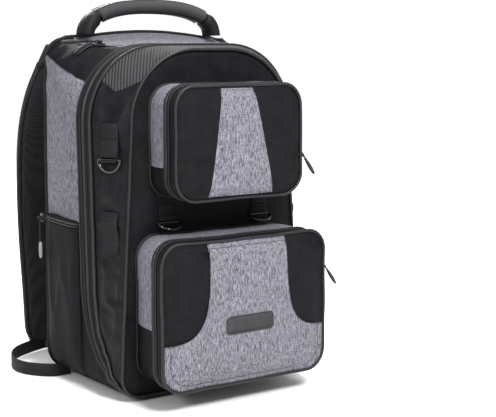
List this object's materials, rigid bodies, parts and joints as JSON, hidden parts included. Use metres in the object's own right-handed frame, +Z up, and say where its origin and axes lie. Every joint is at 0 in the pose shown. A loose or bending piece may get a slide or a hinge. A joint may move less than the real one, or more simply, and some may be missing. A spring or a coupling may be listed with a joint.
{
  "type": "tackle backpack",
  "caption": "Upright tackle backpack with a hinged front section, zipped front and side pockets, a padded lifting handle, D-rings and a padded shoulder harness.",
  "frame": {"origin": "on the underside of the base, on the centre plane, where the bag rests; 59 mm behind the front panel and 136 mm ahead of the back seam", "axes": "+X to the right when facing the front pockets, +Y towards the harness, +Z up"},
  "size_m": [0.4046, 0.4317, 0.535],
  "materials": {
    "black_cloth": "plain woven polyester",
    "grey_melange": "heathered woven polyester",
    "base_cloth": "coated coarse weave",
    "stiffener": "sheet",
    "mesh_pad": "spacer mesh over foam",
    "zip_tape": "zip tape with nylon coil",
    "piping": "corded edge binding",
    "webbing": "ribbed webbing",
    "handle_cover": "padded cover",
    "hardware": "moulded acetal",
    "slider_metal": "black lacquer",
    "pull_rubber": "cord with moulded grip",
    "badge_rubber": "moulded patch, blank"
  },
  "bodies": {
    "bag": {"main_shell": "black_cloth", "base_panel": "base_cloth", "side_panel_left": "grey_melange", "side_panel_right": "grey_melange", "top_panel": "grey_melange", "frame_sheet": "stiffener", "back_pads": "mesh_pad", "lumbar_pad": "mesh_pad", "side_pocket_left": "black_cloth", "side_pocket_right": "black_cloth", "side_zip_tapes": "zip_tape", "top_zip_tape": "zip_tape", "main_zip_rear": "zip_tape", "yoke": "grey_melange", "lower_webbing": "webbing"},
    "front_section": {"front_shell": "black_cloth", "front_piping": "piping", "main_zip_front": "zip_tape", "gusset_tabs": "webbing", "compression_loops": "webbing", "bridge_tabs": "webbing", "upper_pocket_base": "grey_melange", "lower_pocket_base": "grey_melange"},
    "upper_lid": {"upper_pocket_lid": "black_cloth", "upper_piping": "piping", "upper_stripe": "grey_melange"},
    "lower_lid": {"lower_pocket_lid": "grey_melange", "lower_piping": "piping", "lower_patches": "black_cloth", "blank_badge": "badge_rubber"},
    "handle": {"handle_grip": "handle_cover", "handle_ends": "webbing"},
    "arm_left": {"strap_left": "grey_melange", "strap_pocket_left": "black_cloth", "strap_trim_left": "webbing", "ladder_lock_left": "hardware"},
    "arm_right": {"strap_right": "grey_melange", "strap_pocket_right": "black_cloth", "strap_trim_right": "webbing", "ladder_lock_right": "hardware"},
    "gusset_ring_left_body": {"gusset_ring_left": "hardware"},
    "gusset_ring_right_body": {"gusset_ring_right": "hardware"},
    "bridge_ring_left_body": {"bridge_ring_left": "hardware"},
    "bridge_ring_right_body": {"bridge_ring_right": "hardware"},
    "strap_ring_left_body": {"strap_ring_left": "hardware"},
    "strap_ring_right_body": {"strap_ring_right": "hardware"},
    "chest_strap_male_body": {"chest_strap_male": "hardware"},
    "chest_strap_female_body": {"chest_strap_female": "hardware"},
    "main_slider_body": {"main_slider": "slider_metal"},
    "main_pull_body": {"main_pull": "pull_rubber"},
    "top_slider_body": {"top_slider": "slider_metal"},
    "top_pull_body": {"top_pull": "pull_rubber"},
    "side_slider_left_body": {"side_slider_left": "slider_metal"},
    "side_pull_left_body": {"side_pull_left": "pull_rubber"},
    "side_slider_right_body": {"side_slider_right": "slider_metal"},
    "side_pull_right_body": {"side_pull_right": "pull_rubber"},
    "upper_slider_body": {"upper_slider": "slider_metal"},
    "upper_pull_body": {"upper_pull": "pull_rubber"},
    "lower_slider_body": {"lower_slider": "slider_metal"},
    "lower_pull_body": {"lower_pull": "pull_rubber"}
  },
  "joints": [
    {"name": "front_hinge", "type": "hinge", "parent": "bag", "child": "front_section", "pos_m": [0, -0.057, 0.008], "axis": [1, 0, 0], "range_deg": [0, 20]},
    {"name": "upper_lid_hinge", "type": "hinge", "parent": "front_section", "child": "upper_lid", "pos_m": [0, -0.104, 0.275], "axis": [-1, 0, 0], "range_deg": [-75, 0]},
    {"name": "lower_lid_hinge", "type": "hinge", "parent": "front_section", "child": "lower_lid", "pos_m": [0, -0.118, 0.031], "axis": [-1, 0, 0], "range_deg": [-75, 0]},
    {"name": "gusset_ring_right_swing", "type": "hinge", "parent": "front_section", "child": "gusset_ring_right_body", "pos_m": [0.14489, -0.03738, 0.325], "axis": [-0.5436, -0.8393, 0], "range_deg": [0, 100]},
    {"name": "gusset_ring_left_swing", "type": "hinge", "parent": "front_section", "child": "gusset_ring_left_body", "pos_m": [-0.14489, -0.03738, 0.325], "axis": [-0.5436, 0.8393, 0], "range_deg": [0, 100]},
    {"name": "bridge_ring_right_swing", "type": "hinge", "parent": "front_section", "child": "bridge_ring_right_body", "pos_m": [0.072, -0.06335, 0.24], "axis": [-1, 0, 0], "range_deg": [-10, 100]},
    {"name": "bridge_ring_left_swing", "type": "hinge", "parent": "front_section", "child": "bridge_ring_left_body", "pos_m": [-0.072, -0.06335, 0.24], "axis": [-1, 0, 0], "range_deg": [-10, 100]},
    {"name": "strap_ring_right_swing", "type": "hinge", "parent": "arm_right", "child": "strap_ring_right_body", "pos_m": [0.102, 0.2779, 0.28466], "axis": [1, 0, 0], "range_deg": [0, 100]},
    {"name": "strap_ring_left_swing", "type": "hinge", "parent": "arm_left", "child": "strap_ring_left_body", "pos_m": [-0.102, 0.2779, 0.28466], "axis": [1, 0, 0], "range_deg": [0, 100]},
    {"name": "handle_swing", "type": "hinge", "parent": "bag", "child": "handle", "pos_m": [0, 0.114, 0.485], "axis": [1, 0, 0], "range_deg": [-30, 42]},
    {"name": "strap_swing_right", "type": "hinge", "parent": "bag", "child": "arm_right", "pos_m": [0.102, 0.176, 0.44], "axis": [1, 0, 0], "range_deg": [-10, 20]},
    {"name": "strap_swing_left", "type": "hinge", "parent": "bag", "child": "arm_left", "pos_m": [-0.102, 0.176, 0.44], "axis": [1, 0, 0], "range_deg": [-10, 20]},
    {"name": "chest_male_swing", "type": "hinge", "parent": "arm_left", "child": "chest_strap_male_body", "pos_m": [-0.036, 0.26652, 0.184], "axis": [0, 1, 0], "range_deg": [-20, 1]},
    {"name": "chest_female_swing", "type": "hinge", "parent": "arm_right", "child": "chest_strap_female_body", "pos_m": [0.036, 0.26652, 0.192], "axis": [0, 1, 0], "range_deg": [-33, 20]},
    {"name": "main_zip_slide", "type": "slide", "parent": "bag", "child": "main_slider_body", "axis": [0, 0, 1], "range_m": [-0.13, 0.06]},
    {"name": "main_pull_swing", "type": "hinge", "parent": "main_slider_body", "child": "main_pull_body", "pos_m": [0.1656, 0.009, 0.3], "axis": [0, -1, 0], "range_deg": [0, 140]},
    {"name": "top_zip_slide", "type": "slide", "parent": "bag", "child": "top_slider_body", "axis": [1, 0, 0], "range_m": [0, 0.19]},
    {"name": "top_pull_swing", "type": "hinge", "parent": "top_slider_body", "child": "top_pull_body", "pos_m": [-0.1, 0.07484, 0.4767], "axis": [0, 1, 0], "range_deg": [0, 130]},
    {"name": "side_zip_slide_left", "type": "slide", "parent": "bag", "child": "side_slider_left_body", "axis": [0, -1, 0], "range_m": [0, 0.078]},
    {"name": "side_pull_left_swing", "type": "hinge", "parent": "side_slider_left_body", "child": "side_pull_left_body", "pos_m": [-0.176, 0.122, 0.231], "axis": [0, 1, 0], "range_deg": [0, 140]},
    {"name": "side_zip_slide_right", "type": "slide", "parent": "bag", "child": "side_slider_right_body", "axis": [0, -1, 0], "range_m": [0, 0.078]},
    {"name": "side_pull_right_swing", "type": "hinge", "parent": "side_slider_right_body", "child": "side_pull_right_body", "pos_m": [0.176, 0.122, 0.231], "axis": [0, -1, 0], "range_deg": [0, 140]},
    {"name": "upper_zip_slide", "type": "slide", "parent": "front_section", "child": "upper_slider_body", "axis": [0, 0, 1], "range_m": [-0.03, 0.045]},
    {"name": "upper_pull_swing", "type": "hinge", "parent": "upper_slider_body", "child": "upper_pull_body", "pos_m": [0.103, -0.104, 0.343], "axis": [0, -1, 0], "range_deg": [-32, 100]},
    {"name": "lower_zip_slide", "type": "slide", "parent": "front_section", "child": "lower_slider_body", "axis": [0, 0, 1], "range_m": [-0.09, 0.005]},
    {"name": "lower_pull_swing", "type": "hinge", "parent": "lower_slider_body", "child": "lower_pull_body", "pos_m": [0.13184, -0.118, 0.187], "axis": [0, -1, 0], "range_deg": [-32, 100]}
  ]
}
